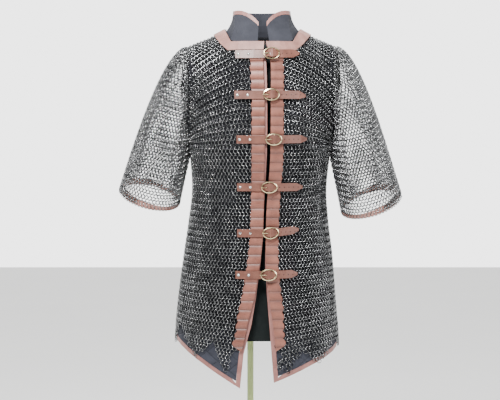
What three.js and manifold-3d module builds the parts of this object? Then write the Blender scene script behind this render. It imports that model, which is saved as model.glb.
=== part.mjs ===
// A front-closing mail shirt with short sleeves, over a quilted sleeveless lining,
// on a limbless dress form with a pole and a round base.
// Millimetres, +Z up. The wearer's front faces -Y, and "left" and "right" are the viewer's.
// The origin is the centre of the base's underside.
import * as THREE from "three";
import { mergeVertices } from "three/addons/utils/BufferGeometryUtils.js";
import Module from "manifold-3d";

const wasm = await Module();
wasm.setup();

// Body form: heights, middle, half width and depths of the mail's outer face, level by level
const BODY_LEVELS = [
  { height: 540, middle: -9, half: 208, front: 162, back: 146 },
  { height: 655, middle: -9, half: 204, front: 152, back: 142 },
  { height: 735, middle: -9, half: 197, front: 144, back: 136 },
  { height: 856, middle: -6, half: 184, front: 132, back: 124 },
  { height: 937, middle: -5, half: 173, front: 123, back: 114 },
  { height: 1017, middle: -3, half: 166, front: 119, back: 107 },
  { height: 1117, middle: -1, half: 174, front: 127, back: 112 },
];
const SQUARENESS = 2.35;
const UNDERARM = 1117;
const HANG_ASIDE = 25;

// Points lie on a grid of so many to a millimetre, so that neighbours share exact corners
const GRID = 128;

// Columns of the front and back panels: the turn from the centre line to the side in degrees,
// the place and height of the shoulder ridge, and the dagged hem's height
const PANEL_COLUMNS = [
  { turn: 0, ridge: 0, ridgeHeight: 1440, hemLeft: 640, hemRight: 638, hemBack: 600 },
  { turn: 17, ridge: 36, ridgeHeight: 1437, hemLeft: 626, hemRight: 620, hemBack: 620 },
  { turn: 20.5, ridge: 50, ridgeHeight: 1432, hemLeft: 574, hemRight: 564, hemBack: 634 },
  { turn: 25, ridge: 72, ridgeHeight: 1421, hemLeft: 612, hemRight: 603, hemBack: 655 },
  { turn: 30.5, ridge: 92, ridgeHeight: 1408, hemLeft: 657, hemRight: 634, hemBack: 643 },
  { turn: 43.3, ridge: 121, ridgeHeight: 1392, hemLeft: 612, hemRight: 597, hemBack: 612 },
  { turn: 53, ridge: 143, ridgeHeight: 1384, hemLeft: 646, hemRight: 620, hemBack: 643 },
  { turn: 64, ridge: 163, ridgeHeight: 1376, hemLeft: 688, hemRight: 650, hemBack: 676 },
  { turn: 77, ridge: 179, ridgeHeight: 1369, hemLeft: 655, hemRight: 633, hemBack: 650 },
  { turn: 90, ridge: 188, ridgeHeight: 1364, hemLeft: 626, hemRight: 614, hemBack: 622 },
];
const LAST_COLUMN = PANEL_COLUMNS.length - 1;
const NECK_COLUMN = 4;
const NECK_CORNER = 3;
const NECK_ASIDE = 5;
const SHOULDER_ASIDE = 3;
const NECK_HEIGHT = { front: 1375, back: 1396 };
const RIDGE_SQUARENESS = 2.3;

// Armhole: half depth of its loop, and where the body's form gives way to it
const ARMHOLE_DEPTH = 48;
const ARMHOLE_SWELL = 8;
const ARMHOLE_RAMP = 0.1;
const ARMHOLE_BLEND = 1.2;
const ARMHOLE_LEAN = 0.35;
const ARMHOLE_VALLEY = 0.12;
const ARMHOLE_FALL = 1.5;
const ARMHOLE_REACH = { from: 5, to: 7.4 };

// Inner edges of the front opening, level by level
const FRONT_EDGES = [
  { height: 540, mailLeft: -60, mailRight: 44, liningLeft: -51, liningRight: 33 },
  { height: 627, mailLeft: -50, mailRight: 37, liningLeft: -42, liningRight: 26 },
  { height: 661, mailLeft: -40, mailRight: 33, liningLeft: -30, liningRight: 23 },
  { height: 709, mailLeft: -30, mailRight: 27, liningLeft: -21, liningRight: 20 },
  { height: 757, mailLeft: -17, mailRight: 20, liningLeft: -13, liningRight: 16 },
  { height: 817, mailLeft: -6, mailRight: 12.5, liningLeft: -4, liningRight: 10.5 },
  { height: 900, mailLeft: 3.8, mailRight: 11, liningLeft: 5, liningRight: 12 },
  { height: 997, mailLeft: 7.4, mailRight: 14.6, liningLeft: 8.5, liningRight: 16 },
  { height: 1092, mailLeft: 8.5, mailRight: 21.6, liningLeft: 14, liningRight: 23 },
  { height: 1235, mailLeft: 8.5, mailRight: 22.8, liningLeft: 15, liningRight: 24 },
  { height: 1335, mailLeft: 5.2, mailRight: 22, liningLeft: 12, liningRight: 23 },
  { height: 1376, mailLeft: 8, mailRight: 12, liningLeft: 4, liningRight: 12 },
];

// Layers, as depths below the mail's outer face
const MAIL_WALL = { out: 0, in: 3.2 };
const LINING_WALL = { out: 4.4, in: 8.4 };
const FORM_DEPTH = 11.6;
const FORM_CLEARANCE = 14;
const FORM_NECK_CLEARANCE = 4;
const FORM_ARM_INSET = 8;
const LEATHER_WALL = { out: -2.7, in: -0.7 };
const SEAM = 0.36;
const HEM_SEAM = 0.5;

// Sleeves: cuff corners as seen from the front, and the pull of the outer and inner lines
const CUFFS = {
  left: { outerX: -350, outerZ: 1012, innerX: -205, innerZ: 979 },
  right: { outerX: 350, outerZ: 999, innerX: 206, innerZ: 957 },
};
const CUFF_HALF_DEPTH = 62;
const CUFF_FRONT_DROP = 24;
const CUFF_BAND = 13;
const CUFF_EASE = 0.9;
const CUFF_STEPS = 10;
const CUFF_OUT = -2.9;
const CUFF_TAPER = 0.8;
const SLEEVE_PULL = {
  outerStart: [55, -20],
  innerStart: [6, -32],
  outerEnd: [-45, 140],
  innerEnd: [-9, 48],
  swell: 12,
};
const SLEEVE_STEPS = 9;

// Rows of the panels
const BODY_ROWS = [700, 770, 840, 910, 980, 1050];
const HEM_ROWS = 2;
const UPPER_ROWS = 8;
const FORM_BOTTOM = 655;

// Lining hem and collar
const LINING_HEM = {
  left: { corner: 547, cornerX: -50, side: 640, sideX: -210 },
  right: { corner: 561, cornerX: 33, side: 627, sideX: 201 },
};
const LINING_HEM_BACK = 636;
const BINDING = 11;
const COLLAR = { middle: 3, half: 71, front: 46, back: 58, height: 1453, swell: 5, steps: 4 };
const COLLAR_FRONT_RISE = 0.34;
const COLLAR_CORNER_TURN = 56;
const COLLAR_BINDING_END = 96;

// Leather
const BAND_STATIONS = [
  { column: 0, lowerColumn: 0, lowerFront: 1355, lowerBack: 1375, ease: 0 },
  { column: 1, lowerColumn: 1, lowerFront: 1355, lowerBack: 1375, ease: 0 },
  { column: 2, lowerColumn: 2, lowerFront: 1355, lowerBack: 1375, ease: 0 },
  { column: 3, lowerColumn: 3.4, lowerFront: 1354, lowerBack: 1374, ease: 0.2 },
  { column: 3.5, lowerColumn: 4.15, lowerFront: 1370, lowerBack: 1382, ease: 1 },
  { column: 3.75, lowerColumn: 4.45, lowerFront: 1387, lowerBack: 1390, ease: 1.6 },
  { column: 3.9, lowerColumn: 4.6, lowerFront: 1394, lowerBack: 1394.5, ease: 2.2 },
  { column: 4, lowerColumn: 4.69, lowerFront: 0, lowerBack: 0, ease: 1.6 },
];
const STRIP = { top: 1350, bottom: 640, pitch: 22, width: 32, lowWidth: 25, bulge: 6, band: 12, slant: 8 };
const STRAPS = [
  { height: 1343, left: -60, buckle: 25, right: 90, rise: 2 },
  { height: 1246.6, left: -62, buckle: 24, right: 104, rise: 0 },
  { height: 1141.4, left: -57, buckle: 30, right: 107, rise: 1 },
  { height: 1027.5, left: -56, buckle: 19.5, right: 98, rise: 0 },
  { height: 917, left: -56, buckle: 23, right: 89, rise: 8 },
  { height: 818, left: -60, buckle: 18, right: 86, rise: 2 },
];
const STRAP_WIDTH = 19;
const STRAP_THICK = 1.8;
const CHAPE = { width: 17, thick: 1.4, length: 38 };
const BUCKLE = { half: 19.5, halfTall: 14.5, wire: 1.7, bar: 1.3, lift: 10 };
const STRAP_REST = 3.4;
const STRAP_WAIST = 0.76;
const PRONG_RADIUS = 0.9;
const RIVET = { radius: 3.4, dome: 1.6, inset: 7, spacing: 24 };

// Stand
const POLE_RADIUS = 8;
const BASE = { radius: 170, thick: 20, round: 6, hub: 26, hubTop: 46, sides: 28 };

const finish = {
  mail: { color: 0x3b3d40, roughness: 0.35, metalness: 1 },
  lining: { color: 0x3c3e4b, roughness: 0.9, metalness: 0 },
  pale: { color: 0xc09a90, roughness: 0.6, metalness: 0 },
  strap: { color: 0x8a5a4a, roughness: 0.55, metalness: 0 },
  brass: { color: 0xd9c08a, roughness: 0.3, metalness: 1 },
  nickel: { color: 0xb8b8b6, roughness: 0.25, metalness: 1 },
  form: { color: 0x141c1c, roughness: 0.8, metalness: 0 },
  wood: { color: 0x9aa575, roughness: 0.6, metalness: 0 },
};

const part = new THREE.Group();

// Values between the rows of a table, on a smooth curve through them
function tableValue(table, key, at, name) {
  const last = table.length - 1;
  const place = Math.min(Math.max(at, table[0][key]), table[last][key]);
  let i = 0;
  while (i < last - 1 && table[i + 1][key] < place) i += 1;
  const slope = (k) => {
    const a = Math.max(k - 1, 0);
    const b = Math.min(k + 1, last);
    return (table[b][name] - table[a][name]) / (table[b][key] - table[a][key]);
  };
  const span = table[i + 1][key] - table[i][key];
  const t = (place - table[i][key]) / span;
  const t2 = t * t;
  const t3 = t2 * t;
  return table[i][name] * (2 * t3 - 3 * t2 + 1) + slope(i) * span * (t3 - 2 * t2 + t)
    + table[i + 1][name] * (3 * t2 - 2 * t3) + slope(i + 1) * span * (t3 - t2);
}

function mix(a, b, t) {
  return a + (b - a) * t;
}

function columnValue(column, name) {
  const i = Math.min(Math.floor(column), LAST_COLUMN - 1);
  return mix(PANEL_COLUMNS[i][name], PANEL_COLUMNS[i + 1][name], column - i);
}

function roundness(angle, power) {
  return (Math.abs(Math.sin(angle)) ** power + Math.abs(Math.cos(angle)) ** power) ** (-1 / power);
}

// One panel's outer face. side is -1 or 1, face is -1 in front and 1 behind, layer names the
// front opening's edge. level is millimetres below the underarm, or 0 to 1 from there to the ridge.
function edgeName(side, layer) {
  return layer + (side < 0 ? "Left" : "Right");
}

function startTurn(side, face, layer, height) {
  if (face > 0) return 0;
  const middle = tableValue(BODY_LEVELS, "height", height, "middle");
  const half = tableValue(BODY_LEVELS, "height", height, "half");
  const edge = tableValue(FRONT_EDGES, "height", height, edgeName(side, layer));
  return Math.asin((side * (edge - middle)) / half);
}

function turnAt(side, face, layer, column, height) {
  const full = (columnValue(column, "turn") * Math.PI) / 180;
  if (column >= 1) return full;
  const first = (PANEL_COLUMNS[1].turn * Math.PI) / 180;
  return mix(startTurn(side, face, layer, height), first, column);
}

function bodySection(side, face, turn, height) {
  const name = face < 0 ? "front" : "back";
  const round = roundness(turn, SQUARENESS);
  const middle = tableValue(BODY_LEVELS, "height", height, "middle");
  const half = tableValue(BODY_LEVELS, "height", height, "half");
  const depth = tableValue(BODY_LEVELS, "height", height, name);
  return new THREE.Vector3(
    middle + side * half * round * Math.sin(turn),
    face * depth * round * Math.cos(turn),
    height,
  );
}

function ridgePlace(side, column) {
  const aside = mix(NECK_ASIDE, SHOULDER_ASIDE, Math.max(column - NECK_COLUMN, 0) / (LAST_COLUMN - NECK_COLUMN));
  return aside + side * columnValue(column, "ridge");
}

function armholeLoop(side, face, q) {
  const tip = ridgePlace(side, LAST_COLUMN);
  const tipHeight = PANEL_COLUMNS[LAST_COLUMN].ridgeHeight;
  const under = bodySection(side, face, Math.PI / 2, UNDERARM);
  return new THREE.Vector3(
    mix(under.x, tip, q) + side * ARMHOLE_SWELL * Math.sin(Math.PI * q),
    face * ARMHOLE_DEPTH * Math.sin(Math.PI * q),
    mix(UNDERARM, tipHeight, (1 - Math.cos(Math.PI * q)) / 2),
  );
}

function panelPoint(side, face, layer, column, level) {
  if (level <= 0) {
    const height = UNDERARM + level;
    return bodySection(side, face, turnAt(side, face, layer, column, height), height);
  }
  const angle = (level * Math.PI) / 2;
  const round = roundness(angle, RIDGE_SQUARENESS);
  const chest = bodySection(side, face, turnAt(side, face, layer, column, UNDERARM), UNDERARM);
  const top = columnValue(column, "ridgeHeight");
  const height = mix(UNDERARM, top, round * Math.sin(angle));
  const first = Math.min(column, 1);
  const plain = mix(chest.x, ridgePlace(side, column), level);
  const point = new THREE.Vector3(plain, chest.y * round * Math.cos(angle), height);
  if (column < 1 && face < 0) {
    const edge = tableValue(FRONT_EDGES, "height", height, edgeName(side, layer));
    const one = bodySection(side, face, (PANEL_COLUMNS[1].turn * Math.PI) / 180, UNDERARM);
    const next = mix(one.x, ridgePlace(side, 1), level);
    point.x = mix(edge, next, first);
  }
  const share = Math.max(column - NECK_COLUMN, 0) / (LAST_COLUMN - NECK_COLUMN);
  const ramp = THREE.MathUtils.smoothstep(level, 0, ARMHOLE_RAMP);
  point.lerp(armholeLoop(side, face, level), ramp * share ** ARMHOLE_BLEND);
  const reach = THREE.MathUtils.smoothstep(column, ARMHOLE_REACH.from, ARMHOLE_REACH.to);
  const least = (ARMHOLE_DEPTH + ARMHOLE_FALL * (LAST_COLUMN - column)) * Math.sin(Math.PI * level) * reach;
  return point.setY(face * Math.max(Math.abs(point.y), ramp * least));
}

// The way out of the wall on the armhole's loop: up over the shoulder, forward or back at its
// middle, and at the underarm along its own side
function armholeOut(side, face, q, underSide, underUp) {
  const phi = Math.PI * (1 - q);
  const swing = Math.cos(phi);
  const up = new THREE.Vector3(side * ARMHOLE_LEAN, 0, 1).normalize();
  const under = new THREE.Vector3(-side * underSide, 0, underUp).normalize();
  const share = swing > 0 ? up : under;
  const level = new THREE.Vector3(-side * ARMHOLE_VALLEY, face, 0).multiplyScalar(Math.sin(phi));
  return share.multiplyScalar(swing).add(level).normalize();
}

// The way out of the wall at a point of the panel
function panelOut(side, face, layer, column, level) {
  if (column > LAST_COLUMN - 1e-6 && level >= 0) return armholeOut(side, face, level, 1, 0);
  if (column > LAST_COLUMN - 1e-6) {
    const low = panelPoint(side, face, layer, LAST_COLUMN, level - 1);
    const up = panelPoint(side, face, layer, LAST_COLUMN, level).sub(low);
    return new THREE.Vector3(side * up.z, 0, -side * up.x).normalize();
  }
  if (level > 0.999 && column > NECK_COLUMN - 1e-6) {
    const along = panelPoint(side, face, layer, column + 0.05, 1).sub(panelPoint(side, face, layer, column, 1));
    return new THREE.Vector3(-side * along.z, 0, side * along.x).normalize();
  }
  const dc = 0.04;
  const c0 = Math.max(column - dc, 0);
  const c1 = Math.min(column + dc, LAST_COLUMN);
  const step = level > 0 ? 0.01 : 1;
  const l0 = level > 0 ? Math.max(level - step, 1e-4) : level - step;
  const l1 = level > 0 ? Math.min(level + step, 1) : level;
  const across = panelPoint(side, face, layer, c1, level).sub(panelPoint(side, face, layer, c0, level));
  const upward = panelPoint(side, face, layer, column, l1).sub(panelPoint(side, face, layer, column, l0));
  return across.cross(upward).multiplyScalar(-side * face).normalize();
}

function panelLaid(side, face, layer, column, level, height) {
  const point = panelPoint(side, face, layer, column, level);
  return point.addScaledVector(panelOut(side, face, layer, column, level), height);
}

// The level of a height on a column, and the neckline's level
function levelOf(column, height) {
  if (height <= UNDERARM) return height - UNDERARM;
  const share = Math.min((height - UNDERARM) / (columnValue(column, "ridgeHeight") - UNDERARM), 1);
  const rest = (1 - share ** RIDGE_SQUARENESS) ** (1 / RIDGE_SQUARENESS);
  return (Math.atan2(share, rest) * 2) / Math.PI;
}

function neckLevel(face, column) {
  if (column >= NECK_COLUMN) return 1;
  const low = NECK_HEIGHT[face < 0 ? "front" : "back"];
  const rise = Math.max(column - NECK_CORNER, 0);
  return levelOf(column, mix(low, PANEL_COLUMNS[NECK_COLUMN].ridgeHeight, rise));
}

// The front as a flat sheet of x and height: every piece laid on it is bent to the body by this
function rowLaid(side, column, height, lift) {
  const rows = [...BODY_ROWS, UNDERARM];
  const i = rows.findIndex((row) => row > height);
  const laid = (at) => panelLaid(side, -1, "mail", column, levelOf(column, at), lift);
  if (i < 1) return laid(height);
  return laid(rows[i - 1]).lerp(laid(rows[i]), (height - rows[i - 1]) / (rows[i] - rows[i - 1]));
}

function frontLaid(x, height, lift) {
  const left = tableValue(FRONT_EDGES, "height", height, "mailLeft");
  const right = tableValue(FRONT_EDGES, "height", height, "mailRight");
  if (x > left && x < right) {
    const a = rowLaid(-1, 0, height, lift);
    const b = rowLaid(1, 0, height, lift);
    return a.lerp(b, (x - left) / (right - left)).setX(x);
  }
  const side = x <= left ? -1 : 1;
  let low = 0;
  let high = LAST_COLUMN - 2;
  for (let i = 0; i < 30; i += 1) {
    const middle = (low + high) / 2;
    const found = rowLaid(side, middle, height, 0).x;
    if (side * found < side * x) low = middle;
    else high = middle;
  }
  return rowLaid(side, low, height, lift);
}

// Closed meshes from grids of points
function addPiece(name, points, faces, look) {
  const geometry = new THREE.BufferGeometry();
  geometry.setAttribute("position", new THREE.BufferAttribute(new Float32Array(points.flatMap((p) => [p.x, p.y, p.z])), 3));
  let volume = 0;
  for (let i = 0; i < faces.length; i += 3) {
    const [a, b, c] = [points[faces[i]], points[faces[i + 1]], points[faces[i + 2]]];
    volume += a.dot(b.clone().cross(c));
  }
  const turned = volume > 0 ? faces : faces.slice().reverse();
  geometry.setIndex(turned);
  addGeometry(name, geometry, look);
}

function addGeometry(name, geometry, look) {
  const place = geometry.attributes.position;
  place.array.forEach((value, i) => {
    place.array[i] = Math.round(value * GRID) / GRID;
  });
  const mesh = new THREE.Mesh(geometry, new THREE.MeshStandardMaterial({ ...look, side: THREE.FrontSide }));
  mesh.name = name;
  part.add(mesh);
}

// A wall between an outer and an inner grid, closed at its edges
function wallMesh(outer, inner, closed) {
  const rows = outer.length;
  const columns = outer[0].length;
  const points = [...outer.flat(), ...inner.flat()];
  const start = rows * columns;
  const faces = [];
  const quad = (a, b, c, d) => faces.push(a, b, c, a, c, d);
  const at = (i, j) => i * columns + (j % columns);
  const spans = closed ? columns : columns - 1;
  for (let i = 0; i < rows - 1; i += 1) {
    for (let j = 0; j < spans; j += 1) {
      quad(at(i, j), at(i, j + 1), at(i + 1, j + 1), at(i + 1, j));
      quad(start + at(i, j), start + at(i + 1, j), start + at(i + 1, j + 1), start + at(i, j + 1));
    }
  }
  for (let j = 0; j < spans; j += 1) {
    quad(at(0, j + 1), at(0, j), start + at(0, j), start + at(0, j + 1));
    quad(at(rows - 1, j), at(rows - 1, j + 1), start + at(rows - 1, j + 1), start + at(rows - 1, j));
  }
  if (!closed) {
    for (let i = 0; i < rows - 1; i += 1) {
      quad(at(i, 0), at(i + 1, 0), start + at(i + 1, 0), start + at(i, 0));
      quad(at(i + 1, columns - 1), at(i, columns - 1), start + at(i, columns - 1), start + at(i + 1, columns - 1));
    }
  }
  return { points, faces };
}

// Levels of a panel's rows, from its hem to its neckline or ridge
function panelLevels(face, column, hem) {
  const levels = [];
  for (let i = 0; i < HEM_ROWS; i += 1) levels.push(mix(hem, BODY_ROWS[0], i / HEM_ROWS) - UNDERARM);
  BODY_ROWS.forEach((height) => levels.push(height - UNDERARM));
  for (let i = 0; i <= UPPER_ROWS; i += 1) levels.push(neckLevel(face, column) * (i / UPPER_ROWS));
  return levels;
}

function seamShift(point, face, column) {
  const meets = column >= NECK_COLUMN;
  return meets && Math.abs(point.y) < 2 ? point.setY(point.y + (face * SEAM) / 2) : point;
}

function panelGrid(side, face, layer, columns, levelsOf, depth) {
  const lists = columns.map((column) => levelsOf(column));
  return lists[0].map((_, row) => columns.map((column, j) => {
    const level = lists[j][row];
    return seamShift(panelLaid(side, face, layer, column, level, -depth), face, column);
  }));
}

function ridgeCount() {
  return allColumns().filter((column) => column > NECK_COLUMN).length;
}

function allColumns() {
  const columns = PANEL_COLUMNS.map((_, i) => i);
  columns.splice(NECK_COLUMN, 0, NECK_COLUMN - 0.5);
  return columns;
}

function hemHeight(side, face, column) {
  if (face < 0 || column === LAST_COLUMN) return columnValue(column, side < 0 ? "hemLeft" : "hemRight");
  return columnValue(column, "hemBack");
}

function mirroredGrid(leftGrid, rightGrid) {
  return leftGrid.map((row, i) => [...row.slice().reverse(), ...rightGrid[i].slice(1)]);
}

function mailLevels(side, face) {
  return (column) => panelLevels(face, column, hemHeight(side, face, column));
}

function addMailPanels() {
  const grid = (side, face, depth) => panelGrid(side, face, "mail", allColumns(), mailLevels(side, face), depth);
  for (const [side, word] of [[-1, "left"], [1, "right"]]) {
    const { points, faces } = wallMesh(grid(side, -1, MAIL_WALL.out), grid(side, -1, MAIL_WALL.in), false);
    addPiece(`mail_front_${word}`, points, faces, finish.mail);
  }
  const back = (depth) => mirroredGrid(grid(-1, 1, depth), grid(1, 1, depth));
  const { points, faces } = wallMesh(back(MAIL_WALL.out), back(MAIL_WALL.in), false);
  addPiece("mail_back", points, faces, finish.mail);
}

// Sleeves, from the armhole's loop to the cuff's
function cuffPoint(side, face, q) {
  const cuff = CUFFS[side < 0 ? "left" : "right"];
  const phi = Math.PI * (1 - q);
  const middleX = (cuff.outerX + cuff.innerX) / 2;
  const middleZ = (cuff.outerZ + cuff.innerZ) / 2;
  return new THREE.Vector3(
    middleX + ((cuff.outerX - cuff.innerX) / 2) * Math.cos(phi),
    face * CUFF_HALF_DEPTH * Math.sin(phi),
    middleZ + ((cuff.outerZ - cuff.innerZ) / 2) * Math.cos(phi) + face * CUFF_FRONT_DROP * Math.sin(phi),
  );
}

function sleevePoint(side, face, q, along) {
  const phi = Math.PI * (1 - q);
  const outer = (1 + Math.cos(phi)) / 2;
  const start = panelPoint(side, face, "mail", LAST_COLUMN, q);
  const end = cuffPoint(side, face, q);
  const pull = (a, b, k) => mix(SLEEVE_PULL[b][k], SLEEVE_PULL[a][k], outer);
  const swell = face * SLEEVE_PULL.swell * Math.sin(phi);
  const one = start.clone().add(new THREE.Vector3(side * pull("outerStart", "innerStart", 0), swell, pull("outerStart", "innerStart", 1)));
  const two = end.clone().add(new THREE.Vector3(side * pull("outerEnd", "innerEnd", 0), swell / 2, pull("outerEnd", "innerEnd", 1)));
  return new THREE.CubicBezierCurve3(start, one, two, end).getPoint(along);
}

function sleeveOut(side, face, q, along) {
  const edge = armholeOut(side, face, q, -0.9, 0.4);
  const a0 = Math.max(along - 0.01, 0.001);
  const a1 = Math.min(along + 0.01, 1);
  const q0 = Math.max(q - 0.01, 0);
  const q1 = Math.min(q + 0.01, 1);
  const down = sleevePoint(side, face, q, a1).sub(sleevePoint(side, face, q, a0));
  const round = sleevePoint(side, face, q1, along).sub(sleevePoint(side, face, q0, along));
  const out = down.cross(round).multiplyScalar(side * face).normalize();
  if (out.dot(edge) < -0.9) return edge;
  return edge.lerp(out, THREE.MathUtils.smoothstep(along, 0, 0.12)).normalize();
}

function sleeveLoop(count) {
  const loop = [];
  for (let i = 0; i < count; i += 1) loop.push({ face: -1, q: i / count });
  for (let i = count; i > 0; i -= 1) loop.push({ face: 1, q: i / count });
  return loop;
}

function sleeveRing(side, along, lift, loop) {
  const slide = along === 0 ? SEAM : 0;
  return loop.map(({ face, q }) => {
    const point = sleevePoint(side, face, q, along).addScaledVector(sleeveOut(side, face, q, along), lift);
    const next = sleevePoint(side, face, q, along + 0.02).sub(sleevePoint(side, face, q, along));
    return along < 1 ? point.addScaledVector(next.normalize(), slide) : point;
  });
}

function addSleeves() {
  for (const [side, word] of [[-1, "left"], [1, "right"]]) {
    const rings = (lift) => {
      const list = [];
      for (let i = 0; i <= SLEEVE_STEPS; i += 1) list.push(sleeveRing(side, i / SLEEVE_STEPS, lift, sleeveLoop(UPPER_ROWS)));
      return list;
    };
    const { points, faces } = wallMesh(rings(-MAIL_WALL.out), rings(-MAIL_WALL.in), true);
    addPiece(`mail_sleeve_${word}`, points, faces, finish.mail);
    const last = 1 - 1 / SLEEVE_STEPS;
    const length = sleevePoint(side, -1, 0.5, 1).distanceTo(sleevePoint(side, -1, 0.5, last));
    const band = (depth) => {
      const above = sleeveRing(side, last, -depth, sleeveLoop(CUFF_STEPS));
      const rim = sleeveRing(side, 1, -depth * CUFF_TAPER, sleeveLoop(CUFF_STEPS));
      const outward = sleeveRing(side, 1, -depth + CUFF_EASE, sleeveLoop(CUFF_STEPS));
      return [rim.map((p, i) => p.clone().lerp(above[i], CUFF_BAND / length)), rim].map((ring) => (
        ring.map((p, i) => p.add(outward[i].clone().sub(rim[i])))));
    };
    const cuff = wallMesh(band(CUFF_OUT), band(LEATHER_WALL.in), true);
    addPiece(`cuff_band_${word}`, cuff.points, cuff.faces, finish.pale);
  }
}

// Lining: panels, bindings and collar
function liningHem(side, face, column) {
  if (face > 0) return mix(LINING_HEM_BACK, LINING_HEM[side < 0 ? "left" : "right"].side, (column / LAST_COLUMN) ** 2);
  const hem = LINING_HEM[side < 0 ? "left" : "right"];
  const x = panelPoint(side, -1, "lining", column, hem.corner - UNDERARM).x;
  const share = Math.min(Math.max((x - hem.cornerX) / (hem.sideX - hem.cornerX), 0), 1);
  return mix(hem.corner, hem.side, share);
}

// Column places of the lining: the first ones run beside the binding on the front edge
function bindingColumn(side, height) {
  const level = levelOf(0, height);
  const edge = panelPoint(side, -1, "lining", 0, level);
  const next = panelPoint(side, -1, "lining", 1, level);
  return BINDING / edge.distanceTo(next);
}

function addLining() {
  const inset = BINDING + HEM_SEAM;
  for (const [side, word] of [[-1, "left"], [1, "right"]]) {
    const corner = liningHem(side, -1, 0) + inset;
    const cornerPlace = bindingColumn(side, corner) * (inset / BINDING);
    const grid = (depth) => {
      const columns = allColumns();
      const rows = panelLevels(-1, 0, 0).length;
      const list = [];
      for (let row = 0; row < rows; row += 1) {
        list.push(columns.map((column) => {
          const levels = panelLevels(-1, column, liningHem(side, -1, Math.max(column, cornerPlace)) + inset);
          const level = levels[row];
          const height = panelPoint(side, -1, "lining", 0, level).z;
          const place = column === 0 ? bindingColumn(side, height) * (inset / BINDING) : column;
          return seamShift(panelLaid(side, -1, "lining", place, level, -depth), -1, column);
        }));
      }
      return list;
    };
    const { points, faces } = wallMesh(grid(LINING_WALL.out), grid(LINING_WALL.in), false);
    addPiece(`lining_front_${word}`, points, faces, finish.lining);
  }
  const levels = (side) => (column) => panelLevels(1, column, liningHem(side, 1, column) + inset);
  const half = (side, depth) => panelGrid(side, 1, "lining", allColumns(), levels(side), depth);
  const back = (depth) => mirroredGrid(half(-1, depth), half(1, depth));
  const { points, faces } = wallMesh(back(LINING_WALL.out), back(LINING_WALL.in), false);
  addPiece("lining_back", points, faces, finish.lining);
}

// A flat strip of leather: stations along it, each a list of points across, with a thickness
function addStrip(name, stations, look) {
  const outer = stations.map((station) => station.map((place) => place(LEATHER_WALL.out)));
  const inner = stations.map((station) => station.map((place) => place(LEATHER_WALL.in)));
  const { points, faces } = wallMesh(outer, inner, false);
  addPiece(name, points, faces, look);
}

function addBindings() {
  const thick = [LINING_WALL.out, LINING_WALL.in];
  for (const [side, word] of [[-1, "left"], [1, "right"]]) {
    const stations = [];
    for (const column of allColumns().slice(1).reverse()) {
      const hem = liningHem(side, -1, column);
      stations.push([hem, hem + BINDING].map((height) => ({ column, level: height - UNDERARM })));
    }
    const corner = liningHem(side, -1, 0);
    const inner = bindingColumn(side, corner + BINDING);
    stations.push([{ column: 0, level: corner - UNDERARM }, { column: inner, level: corner + BINDING - UNDERARM }]);
    for (const level of panelLevels(-1, 0, corner + BINDING + SEAM).slice(1)) {
      const height = panelPoint(side, -1, "lining", 0, level).z;
      stations.push([{ column: 0, level }, { column: bindingColumn(side, height), level }]);
    }
    const lay = (depth) => stations.map((pair) => pair.map(({ column, level }) => (
      seamShift(panelLaid(side, -1, "lining", column, level, -depth), -1, column))));
    const { points, faces } = wallMesh(lay(thick[0]), lay(thick[1]), false);
    addPiece(`lining_binding_${word}`, points, faces, finish.pale);
  }
  const half = (side, depth) => [0, BINDING].map((lift) => allColumns().map((column) => (
    seamShift(panelLaid(side, 1, "lining", column, liningHem(side, 1, column) + lift - UNDERARM, -depth), 1, column))));
  const back = (depth) => mirroredGrid(half(-1, depth), half(1, depth));
  const { points, faces } = wallMesh(back(thick[0]), back(thick[1]), false);
  addPiece("lining_binding_back", points, faces, finish.pale);
}

// Collar: turn 0 is the centre front, 180 the centre back; rise is 0 at the neckline, 1 at the rim
function collarBase(side, turn, depth) {
  const share = turn / 180;
  const split = 0.5;
  const face = share <= split ? -1 : 1;
  const column = face < 0 ? (share / split) * NECK_COLUMN : ((1 - share) / (1 - split)) * NECK_COLUMN;
  const level = neckLevel(face, column);
  return panelLaid(side, face, "lining", column, level, -depth);
}

function collarPoint(side, turn, rise, depth) {
  const angle = (turn * Math.PI) / 180;
  const base = collarBase(side, turn, LINING_WALL.out);
  const out = new THREE.Vector3(side * Math.sin(angle), -Math.cos(angle), 0.3).normalize();
  const reach = angle < Math.PI / 2 ? COLLAR.front : COLLAR.back;
  const rim = new THREE.Vector3(COLLAR.middle + side * COLLAR.half * Math.sin(angle), -reach * Math.cos(angle), COLLAR.height);
  const point = base.lerp(rim, rise);
  point.addScaledVector(out, COLLAR.swell * Math.sin(Math.PI * rise) * -1);
  return point.addScaledVector(out, LINING_WALL.out - depth).setZ(point.z + SEAM + 1);
}

function collarTop(turn) {
  if (turn >= COLLAR_CORNER_TURN) return 1;
  const t = 1 - turn / COLLAR_CORNER_TURN;
  return COLLAR_FRONT_RISE + (1 - COLLAR_FRONT_RISE) * Math.sqrt(1 - t * t);
}

function addCollar() {
  const turns = [6, 12, 20, 30, 42, 56, 72, 90, 110, 132, 156, 180];
  const half = (side, depth) => {
    const list = [];
    for (let i = 0; i <= COLLAR.steps; i += 1) {
      list.push(turns.map((turn) => {
        const share = turn <= COLLAR_BINDING_END ? bindingShare(side, turn) : 1;
        return collarPoint(side, turn, collarTop(turn) * share * (i / COLLAR.steps), depth);
      }));
    }
    return list;
  };
  const join = (depth) => {
    const left = half(-1, depth);
    const right = half(1, depth);
    return left.map((row, i) => [...row, ...right[i].slice(0, -1).reverse()]);
  };
  const { points, faces } = wallMesh(join(LINING_WALL.out), join(LINING_WALL.in), false);
  addPiece("lining_collar", points, faces, finish.lining);
}

function bindingShare(side, turn) {
  const tall = collarPoint(side, turn, collarTop(turn), 0).distanceTo(collarPoint(side, turn, 0, 0));
  return 1 - (BINDING + SEAM) / tall;
}

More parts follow.
